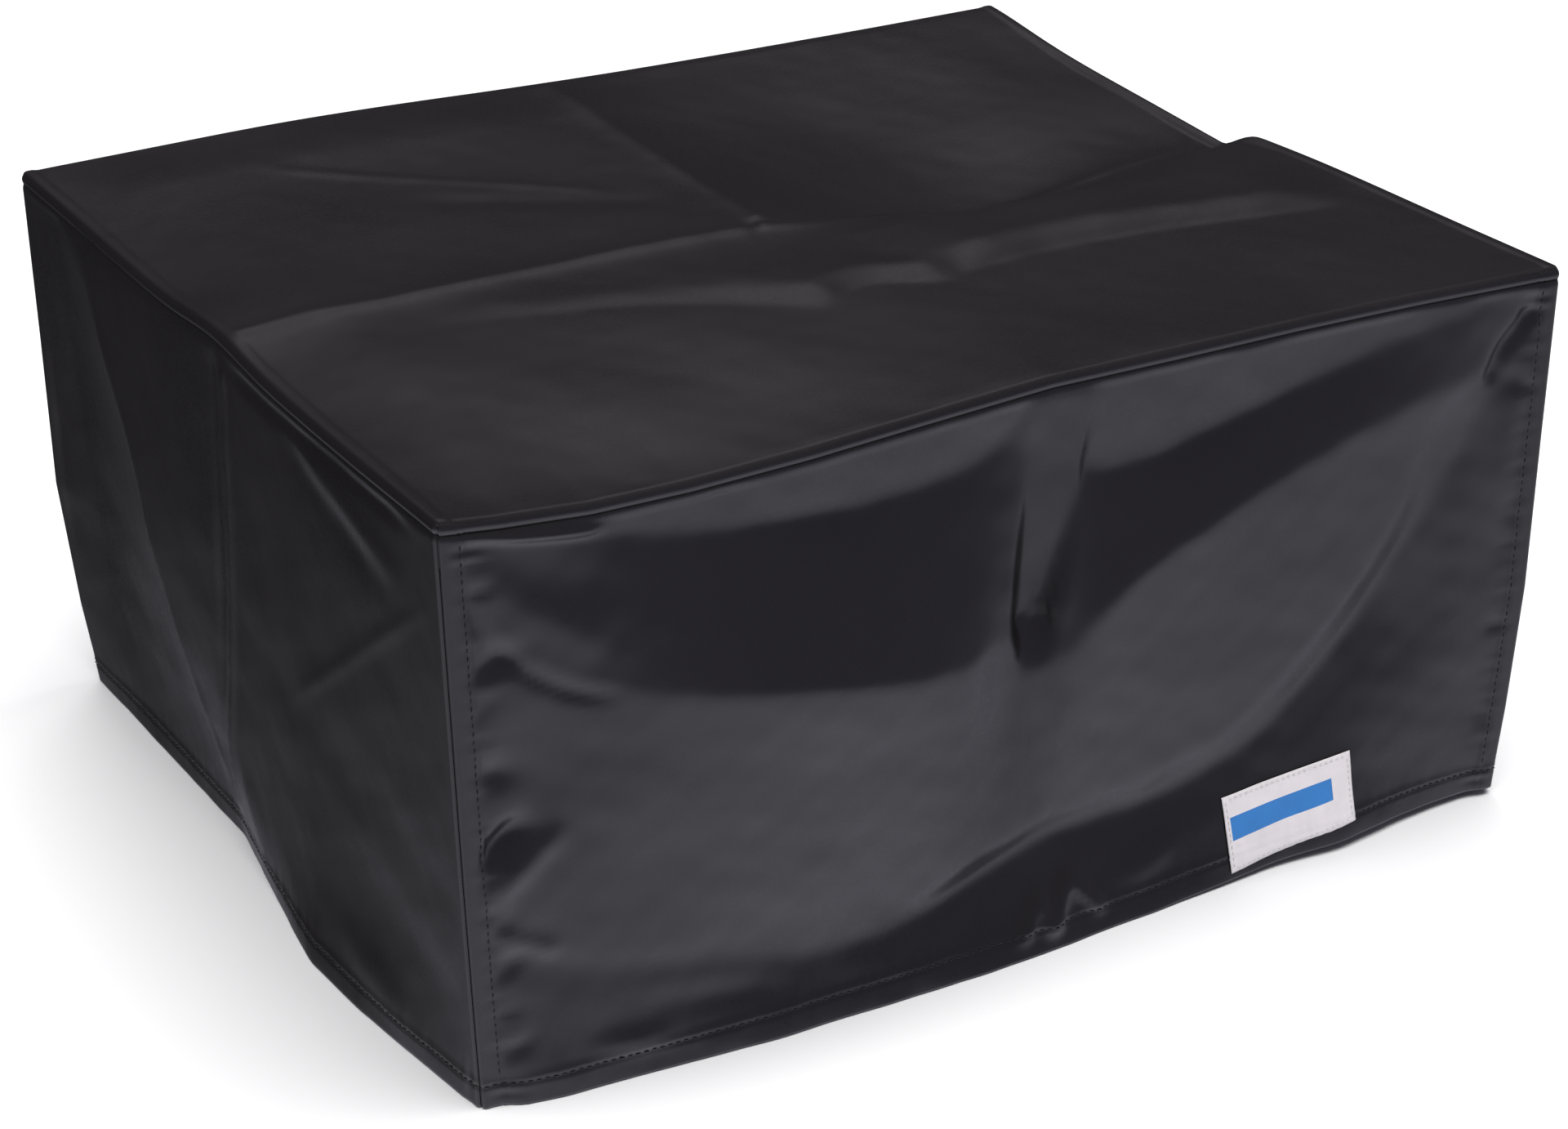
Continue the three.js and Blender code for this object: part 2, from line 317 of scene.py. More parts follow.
def top_relief():
    """The top: creased into quarters by its packing, and sunk behind the middle on the right."""
    relief = Relief(HALF_W, -HALF_D, HALF_D)
    u, v = relief.u, relief.v
    inland = smooth((HALF_D - v) / 60) * smooth((HALF_D + v) / 150)
    relief.out += 5.5 * smooth((u + HALF_W) / 50) * (1 - smooth((u + 110) / 300)) * inland
    sunk = np.exp(-(((u - 112) / 92) ** 2)) * smooth((u + 40) / 80)
    behind = np.clip((205 - v) / 200, 0, 1)
    before = 1 - smooth((4 - v) / 52)
    relief.out -= 18.5 * sunk * np.where(v > 4, behind, before)
    relief.step([(-200, -30), (-105, -54), (-64, -72), (-30, -92)], 1.6, 16, 60, taper=0.35)
    relief.step([(-44, -104), (-26, -86), (-4, -80), (18, -86), (40, -96)], 3.0, 16, 40, taper=0.2)
    relief.step([(14, -86), (60, -78), (92, -75), (142, -78), (192, -86), (240, -92)], 4.6, 19, 45)
    relief.fold([(-252, -17), (-225, -18), (-190, -19), (-100, -19), (-12, -19)], 2.4, 9, 6, sharp=True,
                taper=0.02)
    relief.fold([(-16, -19), (10, -22), (60, -18), (112, -10), (150, -2), (200, 2), (244, 2)], 3.0, 10, 7,
                sharp=True, taper=0.03)
    relief.fold([(-3, 212), (-5, 120), (-6, 40), (-7, -14)], 2.6, 12, 7, sharp=True, taper=0.04)
    relief.fold([(-168, 160), (-100, 104), (-40, 54)], 0.6, 3.5)
    relief.fold([(-130, 90), (-70, 56), (-24, 30)], -0.8, 9)
    relief.out += 0.25 * ripples(u, v, 80, 51) + 0.06 * ripples(u, v, 26, 52)
    return relief


RELIEFS = {
    "front": front_relief(),
    "left": left_relief(),
    "right": right_relief(),
    "back": back_relief(),
    "top": top_relief(),
}
HALF_U = {"front": HALF_W, "back": HALF_W, "left": HALF_D, "right": HALF_D, "top": HALF_W}
WALLS = ("front", "back", "left", "right")


# ---------------------------------------------------------------- where the cloth lies

def share_at(height):
    """How wide the cover is at a height, as a share of its top."""
    return 1 - DRAW_IN * (1 - height / HEIGHT)


def on_box(panel, u, v):
    """A point of the plain tapered box."""
    if panel == "top":
        return np.stack([u, v, np.full_like(u, HEIGHT)], -1)
    share = share_at(v)
    if panel in ("front", "back"):
        side = -HALF_D if panel == "front" else HALF_D
        return np.stack([u * share, side * share, v], -1)
    side = -HALF_W if panel == "left" else HALF_W
    return np.stack([side * share, u * share, v], -1)


def rounded(points):
    """Rounds the box's edges: the moved points, and the way out of the cloth at each."""
    share = share_at(points[..., 2])
    inner = points.copy()
    for axis, half in ((0, HALF_W), (1, HALF_D)):
        limit = half * share - EDGE_RADIUS
        inner[..., axis] = np.clip(points[..., axis], -limit, limit)
    inner[..., 2] = np.minimum(points[..., 2], HEIGHT - EDGE_RADIUS)
    away = points - inner
    away /= np.linalg.norm(away, axis=-1, keepdims=True)
    return inner + away * EDGE_RADIUS, away


def edge_shift(points):
    """How the top seam and the corners have shifted from the plain box, fading away from them."""
    x, y, z = points[..., 0], points[..., 1], points[..., 2]
    drop = HEIGHT - z
    shift = np.zeros_like(points)
    front_seam = bell(np.hypot(y + HALF_D, drop), 55)
    rise = np.interp(x, [-250, -225, -190, -150, -100, -50, 5, 60, 120, 180, 215, 250],
                     [2, -1, -4, -4.5, -3, 0, 3, 2.5, 2.5, 1.5, 0.5, -0.5])
    shift[..., 2] += front_seam * rise
    left = bell(np.hypot(x + HALF_W, drop), 45)
    shift[..., 2] += left * 4.0 * bell(y + 4, 38)
    right = bell(np.hypot(x - HALF_W, drop), 60)
    behind = np.clip((HALF_D - y) / (HALF_D - 2), 0, 1)
    dip = np.where(y > 2, behind, 0.15 * bell(y - 2, 50) + 0.85 * bell(y - 2, 9))
    shift[..., 2] -= right * 7.5 * dip
    shift[..., 0] -= right * 8.0 * dip
    back = bell(np.hypot(y - HALF_D, drop), 55)
    shift[..., 2] += back * (2.6 + 4.6 * bell(x + 130, 120))
    # the front's hem is lifted off the floor near its right end
    front_wall = bell(y + HALF_D, 55)
    lift = np.interp(x, [60, 165, 250], [0, 4.5, 3])
    shift[..., 2] += front_wall * lift * (1 - smooth(z / 75))
    # the corners stand out of the box a little way down
    for side_x, side_y, out in ((-1, 1, 9.0), (1, -1, 4.5), (1, 1, 5.0), (-1, -1, 1.0)):
        corner = bell(np.hypot(x - side_x * HALF_W, y - side_y * HALF_D), 50)
        belly = corner * np.interp(z, [0, 40, 100, 170, HEIGHT], [0.1, 0.6, 1.0, 0.7, 0.45])
        shift[..., 0] += side_x * out * 0.8 * belly
        shift[..., 1] += side_y * out * 0.5 * belly
    return shift


def seam_relief(panel, u, v):
    """The small shape of the sewing: grooves at seams, flat topstitched strips, the double hem."""
    if panel == "top":
        from_side = HALF_W - np.abs(u)
        return 0.5 * smooth(from_side / 2) * (1 - smooth((from_side - 5) / 3))
    from_corner = HALF_U[panel] - np.abs(u)
    below_top = HEIGHT - v
    out = -0.5 * bell(below_top - TOP_SEAM, 1.1)
    out -= 0.7 * bell(from_corner, 1.0)
    stitch_tug = np.sin(u * 0.9 + 2 * np.sin(u * 0.13)) * np.sin(u * 0.21 + 1)
    out += 0.3 * smooth((HEM + 1 - v) / 2) * smooth(from_corner / 3)
    out -= 0.35 * bell(v - HEM_STITCH_V, 0.9)
    out += 0.28 * stitch_tug * bell(v - HEM_STITCH_V - 2, 6) * smooth(from_corner / 8)
    if panel in ("front", "back"):
        out += 0.6 * smooth(from_corner / 1.5) * (1 - smooth((from_corner - TOPSTITCH - 0.6) / 1.6))
        out -= 0.45 * bell(from_corner - TOPSTITCH, 0.8)
        tug = np.sin(v * 0.8 + 1.7 * np.sin(v * 0.11)) * np.sin(v * 0.17)
        out += 0.3 * tug * bell(from_corner - TOPSTITCH - 2, 6) * smooth(from_corner / 6)
    return out


def big_relief(panel, u, v):
    """The folds, faded out towards the seams that hold them."""
    out = RELIEFS[panel].at(u, v)
    if panel == "top":
        return out * smooth((HALF_W - np.abs(u)) / 9) * smooth((HALF_D - np.abs(v)) / 9)
    from_corner = HALF_U[panel] - np.abs(u)
    start = TOPSTITCH if panel in ("front", "back") else 1.0
    return out * smooth((from_corner - 0.55 * start) / 13) * smooth((EDGE - v) / 5)


def place(panel, u, v):
    """Where the outer face of the cloth lies, in millimetres, and the way out of the plain box there."""
    u, v = np.broadcast_arrays(np.asarray(u, float), np.asarray(v, float))
    points, out = rounded(on_box(panel, u, v))
    height = big_relief(panel, u, v) + seam_relief(panel, u, v)
    placed = points + out * height[..., None] + edge_shift(points)
    placed[..., 2] = np.maximum(placed[..., 2], 0)
    return placed, out


def surface(panel, u, v):
    """Where the cloth lies, and its true normal."""
    reach = 0.6
    here, out = place(panel, u, v)
    along_u = place(panel, u + reach, v)[0] - place(panel, u - reach, v)[0]
    along_v = place(panel, u, v + reach)[0] - place(panel, u, v - reach)[0]
    normal = np.cross(along_u, along_v)
    normal /= np.linalg.norm(normal, axis=-1, keepdims=True) + 1e-12
    normal *= np.sign(np.sum(normal * out, axis=-1, keepdims=True))
    return here, normal


# ---------------------------------------------------------------- meshes

def stations(low, high, fine=0.9, coarse=2.6, reach=13):
    """Places from low to high, close together near both ends."""
    near_low = np.arange(low, low + reach, fine)
    near_high = np.arange(high, high - reach, -fine)[::-1]
    count = int(math.ceil((near_high[0] - near_low[-1]) / coarse))
    middle = np.linspace(near_low[-1], near_high[0], count + 1)[1:-1]
    return np.concatenate([near_low, middle, near_high])


def sheet_mesh(name, patches, material):
    """One mesh from grids of (points, flat u, flat v, out), welded where they meet."""
    verts, faces, flats = [], [], []
    start = 0
    for points, u, v, out in patches:
        rows, columns = points.shape[:2]
        index = np.arange(rows * columns).reshape(rows, columns) + start
        quads = np.stack([index[:-1, :-1], index[:-1, 1:], index[1:, 1:], index[1:, :-1]], -1)
        middle = (rows // 2, columns // 2)
        step_u = points[middle] - points[middle[0], middle[1] - 1]
        step_v = points[middle] - points[middle[0] - 1, middle[1]]
        if np.cross(step_u, step_v) @ out[middle] < 0:
            quads = quads[..., ::-1]
        verts.append(points.reshape(-1, 3) * MM)
        flats.append(np.stack([u, v], -1).reshape(-1, 2) * MM)
        faces.append(quads.reshape(-1, 4))
        start += rows * columns
    verts, faces, flats = np.vstack(verts), np.vstack(faces), np.vstack(flats)
    mesh = bpy.data.meshes.new(name)
    mesh.from_pydata(verts.tolist(), [], faces.tolist())
    layer = mesh.uv_layers.new(name="flat")
    layer.data.foreach_set("uv", flats[faces.ravel()].astype(np.float32).ravel())
    work = bmesh.new()
    work.from_mesh(mesh)
    bmesh.ops.remove_doubles(work, verts=work.verts, dist=1e-6)
    bmesh.ops.dissolve_degenerate(work, edges=work.edges, dist=1e-7)
    work.to_mesh(mesh)
    work.free()
    mesh.materials.append(material)
    mesh.polygons.foreach_set("use_smooth", [True] * len(mesh.polygons))
    piece = bpy.data.objects.new(name, mesh)
    bpy.context.scene.collection.objects.link(piece)
    return piece


def thicken(piece, thickness):
    """Gives a sheet its thickness, inwards from its outer face."""
    layer = piece.modifiers.new("thickness", "SOLIDIFY")
    layer.thickness = thickness * MM
    layer.offset = -1
    layer.use_even_offset = False
    layer.use_rim = True


def patch(panel, us, vs, inset=None):
    """A grid of a panel's cloth. inset(u, v) moves it inwards, for layers that lie inside."""
    u, v = np.meshgrid(us, vs)
    points, out = place(panel, u, v if inset is None else np.abs(v))
    if inset is not None:
        points = points - out * inset(u, v)[..., None]
        out = -out
    return points, u, v, out


TURN_GAP = 1.2  # how far behind the outer face a turned-in layer lies
CORNER_SEAM = 1.6  # from a vertical corner to the seam inside it


def turned(distance):
    """How far a layer has turned inwards at a distance past its fold."""
    return TURN_GAP * (1 - np.exp(-distance / 0.7)) + 0.15 * smooth(distance / 4)


def wall_patches(panel):
    """A wall's sheet, with its hem turned up inside."""
    half = HALF_U[panel]
    us = stations(-half, half)
    vs = stations(0, EDGE - 0.1)
    hem = -np.linspace(0, HEM, 15)
    kept = us[np.abs(us) <= half - (ALLOWANCE if panel in ("front", "back") else 2)]
    return [patch(panel, us, vs), patch(panel, kept, hem, lambda u, v: turned(-v))]


def allowance_patches(panel):
    """The edges of a side panel that are turned in behind the end panels."""
    grids = []
    side = -1 if panel == "left" else 1
    for end_name, end in (("front", -1), ("back", 1)):
        past = np.linspace(0, ALLOWANCE, 12)
        t, v = np.meshgrid(past, stations(1, EDGE - 0.1, coarse=4))
        points, out = place(end_name, side * (HALF_W - t), v)
        points = points - out * turned(t)[..., None]
        grids.append((points, end * (HALF_D + t), v, -out))
    return grids


def top_patches():
    """The top's sheet: rolled over the edges to the seam, and turned down inside from there."""
    us, ys = (stations(-half, half, coarse=2.9) for half in (HALF_W, HALF_D))
    grids = [patch("top", us, ys)]
    roll = np.linspace(EDGE, HEIGHT, 8)
    inside = np.linspace(EDGE, EDGE - ALLOWANCE, 12)
    for panel in WALLS:
        along = us if panel in ("front", "back") else ys
        grids.append(patch(panel, along, roll))
        grids.append(patch(panel, along, inside, lambda u, v: turned(EDGE - v)))
    return grids


# ---------------------------------------------------------------- stitches

SIDES = 6  # of a stitch's section
ARCH = np.array([-0.16, 0.1, 0.2, 0.1, -0.16])  # how a stitch stands over the cloth along its length
TAPER = np.array([0.45, 0.95, 1.0, 0.95, 0.45])  # and how thick it is there


def resampled(points, normals, spots):
    """Points and normals at distances along a path."""
    steps = np.linalg.norm(np.diff(points, axis=0), axis=1)
    run = np.concatenate([[0], np.cumsum(steps)])
    put = np.stack([np.interp(spots, run, points[:, i]) for i in range(3)], -1)
    out = np.stack([np.interp(spots, run, normals[:, i]) for i in range(3)], -1)
    return put, out / np.linalg.norm(out, axis=-1, keepdims=True)


def path_length(points):
    return np.linalg.norm(np.diff(points, axis=0), axis=1).sum()


def stitch_row(name, paths, material, length=2.5, gap=0.9, radius=0.27, lift=0.12):
    """Rows of single stitches along paths of (points, normals)."""
    rings, starts = [], 0
    verts, faces = [], []
    for points, normals in paths:
        pitch = length + gap
        count = int(path_length(points) // pitch)
        first = (path_length(points) - count * pitch + gap) / 2
        begin = first + pitch * np.arange(count)
        spots = begin[:, None] + length * np.linspace(0, 1, len(ARCH))
        centre, normal = resampled(points, normals, spots)
        along = centre[:, -1:] - centre[:, :1]
        along /= np.linalg.norm(along, axis=-1, keepdims=True)
        across = np.cross(along, normal)
        centre = centre + normal * (lift + ARCH)[None, :, None]
        turn = 2 * math.pi * np.arange(SIDES) / SIDES
        spoke = (np.cos(turn)[:, None] * across[..., None, :]
                 + np.sin(turn)[:, None] * normal[..., None, :])
        ring = centre[..., None, :] + spoke * (radius * TAPER)[None, :, None, None]
        rings.append(ring.reshape(-1, 3))
        one = np.arange(len(ARCH) * SIDES).reshape(len(ARCH), SIDES)
        quads = np.stack([one[:-1], np.roll(one[:-1], -1, 1), np.roll(one[1:], -1, 1), one[1:]], -1)
        caps = [one[0][::-1].tolist(), one[-1].tolist()]
        for i in range(count):
            base = starts + i * one.size
            faces.extend((quads.reshape(-1, 4) + base).tolist())
            faces.extend([[k + base for k in cap] for cap in caps])
        starts += count * one.size
    verts = np.vstack(rings) * MM
    mesh = bpy.data.meshes.new(name)
    mesh.from_pydata(verts.tolist(), [], faces)
    mesh.materials.append(material)
    mesh.polygons.foreach_set("use_smooth", [len(p.vertices) == 4 for p in mesh.polygons])
    piece = bpy.data.objects.new(name, mesh)
    bpy.context.scene.collection.objects.link(piece)
    return piece


def wall_path(panel, us, vs, depth=0.0):
    """A path on a wall: its points moved in by a depth, and their normals."""
    us, vs = np.broadcast_arrays(np.asarray(us, float), np.asarray(vs, float))
    points, normals = surface(panel, us, vs)
    return points - normals * depth, normals * (1 if depth == 0 else -1)


def hem_path():
    """Once round the cover along the hem's stitches."""
    inset = 1.0
    w = np.linspace(-HALF_W + inset, HALF_W - inset, 500)
    d = np.linspace(-HALF_D + inset, HALF_D - inset, 430)
    legs = [
        wall_path("front", w, HEM_STITCH_V),
        wall_path("right", d, HEM_STITCH_V),
        wall_path("back", w[::-1], HEM_STITCH_V),
        wall_path("left", d[::-1], HEM_STITCH_V),
        wall_path("front", w[:1], HEM_STITCH_V),
    ]
    return np.vstack([p for p, n in legs]), np.vstack([n for p, n in legs])


# ---------------------------------------------------------------- the label

LABEL_V = 0.5 * (LABEL_LOW.z + LABEL_HIGH.z) / MM
LABEL_U = 0.5 * (LABEL_LOW.x + LABEL_HIGH.x) / MM / share_at(LABEL_V)
LABEL_W, LABEL_H, LABEL_TILT = 66.0, 34.0, math.radians(4)
LABEL_LIFT = 0.9  # its face above the cloth
LABEL_THICK = 0.4
LABEL_STITCH_INSET = 1.6
# The blue band on the label, as shares of its half width and half height.
BAND_PLACE = (-0.12, 0.11)
BAND_REACH = (0.80, 0.31)


def label_surface(a, b):
    """The label's points and normals, a along and b up from its middle. It's stiffer than the cloth."""
    c, s = math.cos(LABEL_TILT), math.sin(LABEL_TILT)
    total = 0
    for da in (-5, 0, 5):
        for db in (-4, 0, 4):
            u = LABEL_U + (a + da) * c - (b + db) * s
            v = LABEL_V + (a + da) * s + (b + db) * c
            total = total + surface("front", u, np.maximum(v, 0))[0]
    middle = total / 9
    u, v = LABEL_U + a * c - b * s, LABEL_V + a * s + b * c
    under, normal = surface("front", u, np.maximum(v, 0))
    return 0.5 * under + 0.5 * middle + normal * LABEL_LIFT, normal


# ---------------------------------------------------------------- materials

def new_material(name):
    material = bpy.data.materials.new(name)
    material.use_nodes = True
    return material, material.node_tree, material.node_tree.nodes["Principled BSDF"]


def add(tree, kind, **settings):
    node = tree.nodes.new(kind)
    for key, value in settings.items():
        setattr(node, key, value)
    return node


def math_node(tree, operation, a, b=None):
    node = add(tree, "ShaderNodeMath", operation=operation)
    for socket, value in zip(node.inputs, (a, b)):
        if value is None:
            continue
        if isinstance(value, (int, float)):
            socket.default_value = value
        else:
            tree.links.new(value, socket)
    return node.outputs[0]


def noise(tree, vector, scale, detail=3.0, roughness=0.5):
    node = add(tree, "ShaderNodeTexNoise")
    node.inputs["Scale"].default_value = scale
    node.inputs["Detail"].default_value = detail
    node.inputs["Roughness"].default_value = roughness
    tree.links.new(vector, node.inputs["Vector"])
    return node.outputs["Fac"]


def ramp(tree, value, low, high, from_low=0.0, from_high=1.0):
    """A value mapped from one range to another."""
    node = add(tree, "ShaderNodeMapRange")
    tree.links.new(value, node.inputs["Value"])
    for name, number in (("From Min", from_low), ("From Max", from_high), ("To Min", low), ("To Max", high)):
        node.inputs[name].default_value = number
    return node.outputs[0]


def blend(tree, factor, under, over):
    """One colour laid over another. Each is a socket or plain numbers."""
    node = add(tree, "ShaderNodeMix", data_type="RGBA")
    tree.links.new(factor, node.inputs["Factor"])
    for name, colour in (("A", under), ("B", over)):
        if isinstance(colour, tuple):
            node.inputs[name].default_value = (*colour, 1)
        else:
            tree.links.new(colour, node.inputs[name])
    return node.outputs["Result"]


def bump(tree, height, strength, distance_mm, normal=None):
    node = add(tree, "ShaderNodeBump")
    node.inputs["Strength"].default_value = strength
    node.inputs["Distance"].default_value = distance_mm * MM
    tree.links.new(height, node.inputs["Height"])
    if normal is not None:
        tree.links.new(normal, node.inputs["Normal"])
    return node.outputs["Normal"]


def plain_weave(tree, vector, pitch_mm):
    """Over-and-under threads, as a height between -1 and 1."""
    parts = add(tree, "ShaderNodeSeparateXYZ")
    tree.links.new(vector, parts.inputs[0])
    waves = [
        math_node(tree, "SINE", math_node(tree, "MULTIPLY", parts.outputs[axis], math.pi / (pitch_mm * MM)))
        for axis in (0, 1)
    ]
    return math_node(tree, "MULTIPLY", waves[0], waves[1])


def nylon_material():
    """Black coated nylon: a fine plain weave, a satin gloss, and a soft unevenness."""
    material, tree, shader = new_material("coated_nylon")
    flat = add(tree, "ShaderNodeUVMap", uv_map="flat").outputs[0]
    place_of = add(tree, "ShaderNodeTexCoord").outputs["Object"]
    cloudy = noise(tree, place_of, 9, 4)
    fine = noise(tree, place_of, 420, 2)
    patchy = ramp(tree, cloudy, 0, 1, 0.3, 0.7)
    colour = blend(tree, patchy, (0.0070, 0.0064, 0.0073), (0.0090, 0.0081, 0.0091))
    tree.links.new(colour, shader.inputs["Base Color"])
    broad_rough = ramp(tree, cloudy, 0.27, 0.33, 0.25, 0.75)
    fine_rough = ramp(tree, fine, -0.03, 0.03, 0.3, 0.7)
    rough = math_node(tree, "ADD", broad_rough, fine_rough)
    tree.links.new(rough, shader.inputs["Roughness"])
    crumple = bump(tree, noise(tree, place_of, 60, 5, 0.6), 0.22, 0.35)
    woven = bump(tree, plain_weave(tree, flat, 0.5), 0.25, 0.03, crumple)
    tree.links.new(woven, shader.inputs["Normal"])
    return material


def thread_material(name, dark, light):
    """Sewing thread: two plies twisted round each other, with a dull sheen."""
    material, tree, shader = new_material(name)
    place_of = add(tree, "ShaderNodeTexCoord").outputs["Object"]
    plies = noise(tree, place_of, 2500, 2)
    colour = blend(tree, ramp(tree, plies, 0, 1, 0.3, 0.7), dark, light)
    tree.links.new(colour, shader.inputs["Base Color"])
    shader.inputs["Roughness"].default_value = 0.6
    tree.links.new(bump(tree, plies, 0.5, 0.06), shader.inputs["Normal"])
    return material


def label_material():
    """A white woven satin label with one plain blue band."""
    material, tree, shader = new_material("label_satin")
    flat = add(tree, "ShaderNodeUVMap", uv_map="flat").outputs[0]
    parts = add(tree, "ShaderNodeSeparateXYZ")
    tree.links.new(flat, parts.inputs[0])
    inside = []
    for axis, size in enumerate((LABEL_W, LABEL_H)):
        share = math_node(tree, "DIVIDE", parts.outputs[axis], size / 2 * MM)
        away = math_node(tree, "ABSOLUTE", math_node(tree, "SUBTRACT", share, BAND_PLACE[axis]))
        inside.append(math_node(tree, "LESS_THAN", away, BAND_REACH[axis]))
    band = math_node(tree, "MULTIPLY", *inside)
    colour = blend(tree, band, (0.80, 0.76, 0.775), (0.028, 0.21, 0.58))
    grime = ramp(tree, noise(tree, flat, 90, 3), 0.92, 1.0, 0.3, 0.7)
    shade = add(tree, "ShaderNodeVectorMath", operation="SCALE")
    tree.links.new(colour, shade.inputs[0])
    tree.links.new(grime, shade.inputs["Scale"])
    tree.links.new(shade.outputs[0], shader.inputs["Base Color"])
    shader.inputs["Roughness"].default_value = 0.45
    weave = bump(tree, plain_weave(tree, flat, 0.35), 0.5, 0.05)
    tree.links.new(weave, shader.inputs["Normal"])
    return material


def floor_material():
    material, tree, shader = new_material("pale_floor")
    place_of = add(tree, "ShaderNodeTexCoord").outputs["Object"]
    tone = blend(tree, noise(tree, place_of, 2, 2), (0.83, 0.83, 0.83), (0.86, 0.86, 0.86))
    tree.links.new(tone, shader.inputs["Base Color"])
    shader.inputs["Roughness"].default_value = 0.9
    return material


# ---------------------------------------------------------------- the pieces

NYLON = nylon_material()
BLACK_THREAD = thread_material("black_thread", (0.008, 0.008, 0.009), (0.03, 0.03, 0.033))
WHITE_THREAD = thread_material("white_thread", (0.55, 0.55, 0.54), (0.8, 0.8, 0.78))
LABEL_SATIN = label_material()


def settle(piece, node):
    """Makes a piece ride on the part's one body and stand for a CAD node."""
    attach(piece, "root")
    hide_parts(node)


def make_panels():
    for panel in WALLS:
        grids = wall_patches(panel)
        if panel in ("left", "right"):
            grids += allowance_patches(panel)
        piece = sheet_mesh(f"{panel}_cloth", grids, NYLON)
        thicken(piece, CLOTH)
        settle(piece, f"{panel}_panel")
    piece = sheet_mesh("top_cloth", top_patches(), NYLON)
    thicken(piece, CLOTH)
    settle(piece, "top_panel")


def make_stitching():
    piece = stitch_row("hem_stitches", [hem_path()], BLACK_THREAD)
    settle(piece, "hem_stitching")
    tall = np.linspace(HEM + 1, EDGE - 3, 260)
    for end in ("front", "back"):
        for side_name, side in (("left", -1), ("right", 1)):
            corner = f"{end}_{side_name}_corner"
            row = wall_path(end, side * (HALF_W - TOPSTITCH), tall)
            piece = stitch_row(f"{corner}_topstitches", [row], BLACK_THREAD)
            settle(piece, f"{corner}_topstitching")
            row = wall_path(end, side * (HALF_W - CORNER_SEAM), tall, depth=TURN_GAP + 1.0)
            piece = stitch_row(f"{corner}_seam_stitches", [row], BLACK_THREAD)
            settle(piece, f"{corner}_seam_stitching")
    for panel in WALLS:
        reach = HALF_U[panel] - ALLOWANCE
        row = wall_path(panel, np.linspace(-reach, reach, 480), EDGE - 1.5, depth=TURN_GAP + 0.9)
        piece = stitch_row(f"top_{panel}_seam_stitches", [row], BLACK_THREAD)
        settle(piece, f"top_{panel}_seam_stitching")


def make_label():
    across = np.linspace(-LABEL_W / 2, LABEL_W / 2, 67)
    up = np.linspace(-LABEL_H / 2, LABEL_H / 2, 35)
    a, b = np.meshgrid(across, up)
    points, normal = label_surface(a, b)
    piece = sheet_mesh("woven_label", [(points, a, b, normal)], LABEL_SATIN)
    thicken(piece, LABEL_THICK)
    settle(piece, "label")
    half_a, half_b = LABEL_W / 2 - LABEL_STITCH_INSET, LABEL_H / 2 - LABEL_STITCH_INSET
    corners = [(-half_a, -half_b), (half_a, -half_b), (half_a, half_b), (-half_a, half_b)]
    rows = []
    for (a0, b0), (a1, b1) in zip(corners, corners[1:] + corners[:1]):
        t = np.linspace(0, 1, 60)
        rows.append(label_surface(a0 + (a1 - a0) * t, b0 + (b1 - b0) * t))
    piece = stitch_row("label_stitches", rows, WHITE_THREAD, length=1.9, gap=0.8, radius=0.2)
    settle(piece, "label_stitching")


make_panels()
make_stitching()
make_label()


# ---------------------------------------------------------------- the studio

FRONT_ROOM = (0.20, 0.195, 0.25)  # the room on the cover's front side
BACK_ROOM = (0.030, 0.028, 0.030)
ROOM_EDGE = (-0.25, 0.25)  # where the front room ends and the back room is whole, as a sine
CEILING = (0.19, 0.18, 0.195)
CEILING_EDGE = (0.32, 0.78)  # where the ceiling's light begins and is whole, as a sine
WINDOW = (0.62, 0.59, 0.64)
WINDOW_WAY = (0.28, 0.55, 0.79)  # towards the bright window in the ceiling
WINDOW_EDGE = (0.935, 0.975)  # where its light begins and is whole, as a cosine
FLOOR_GLOW = (0.86, 0.85, 0.97)
BRIGHT_FLOOR = (1.30, 1.28, 1.46)  # the floor close to the cover
NEAR_EDGE = (-0.80, -0.45)  # where the close floor is whole and where it ends, as a sine
DIM_FLOOR = (0.66, 0.65, 0.75)  # the floor off to the right
DIM_EDGE = (0.42, 0.78)  # where the dim floor begins and is whole, as a sine
FLOOR_GLOW_EDGE = (-0.40, -0.20)  # where the floor's light is whole and where it ends, as a sine
SHADE_WAY = (-0.36, 0.93)  # the side of the room without the glow
SHADE_EDGE = (0.50, 0.905)  # where the floor's light starts to fade and where it's gone
FLOOR_DROP_M = -0.0003  # keeps the floor clear of the hem
CAMERA_PLACE_M = (-0.6948, -1.2574, 0.7569)
CAMERA_TARGET_M = (-0.0337, -0.07425, 0.12185)
CAMERA_ROLL = -0.754  # degrees


def make_floor():
    size_m = 9.0
    mesh = bpy.data.meshes.new("floor")
    corners = [(-size_m, -size_m, 0), (size_m, -size_m, 0), (size_m, size_m, 0), (-size_m, size_m, 0)]
    mesh.from_pydata(corners, [], [(0, 1, 2, 3)])
    mesh.materials.append(floor_material())
    floor = bpy.data.objects.new("floor", mesh)
    floor.location.z = FLOOR_DROP_M
    bpy.context.scene.collection.objects.link(floor)
    floor.visible_glossy = False


def aim(thing, target_m, roll_degrees=0.0):
    """Turns a camera or a light to look at a point."""
    look = Vector(target_m) - thing.location
    turn = look.to_track_quat("-Z", "Y").to_matrix()
    thing.rotation_euler = (turn @ Matrix.Rotation(math.radians(roll_degrees), 3, "Z")).to_euler()


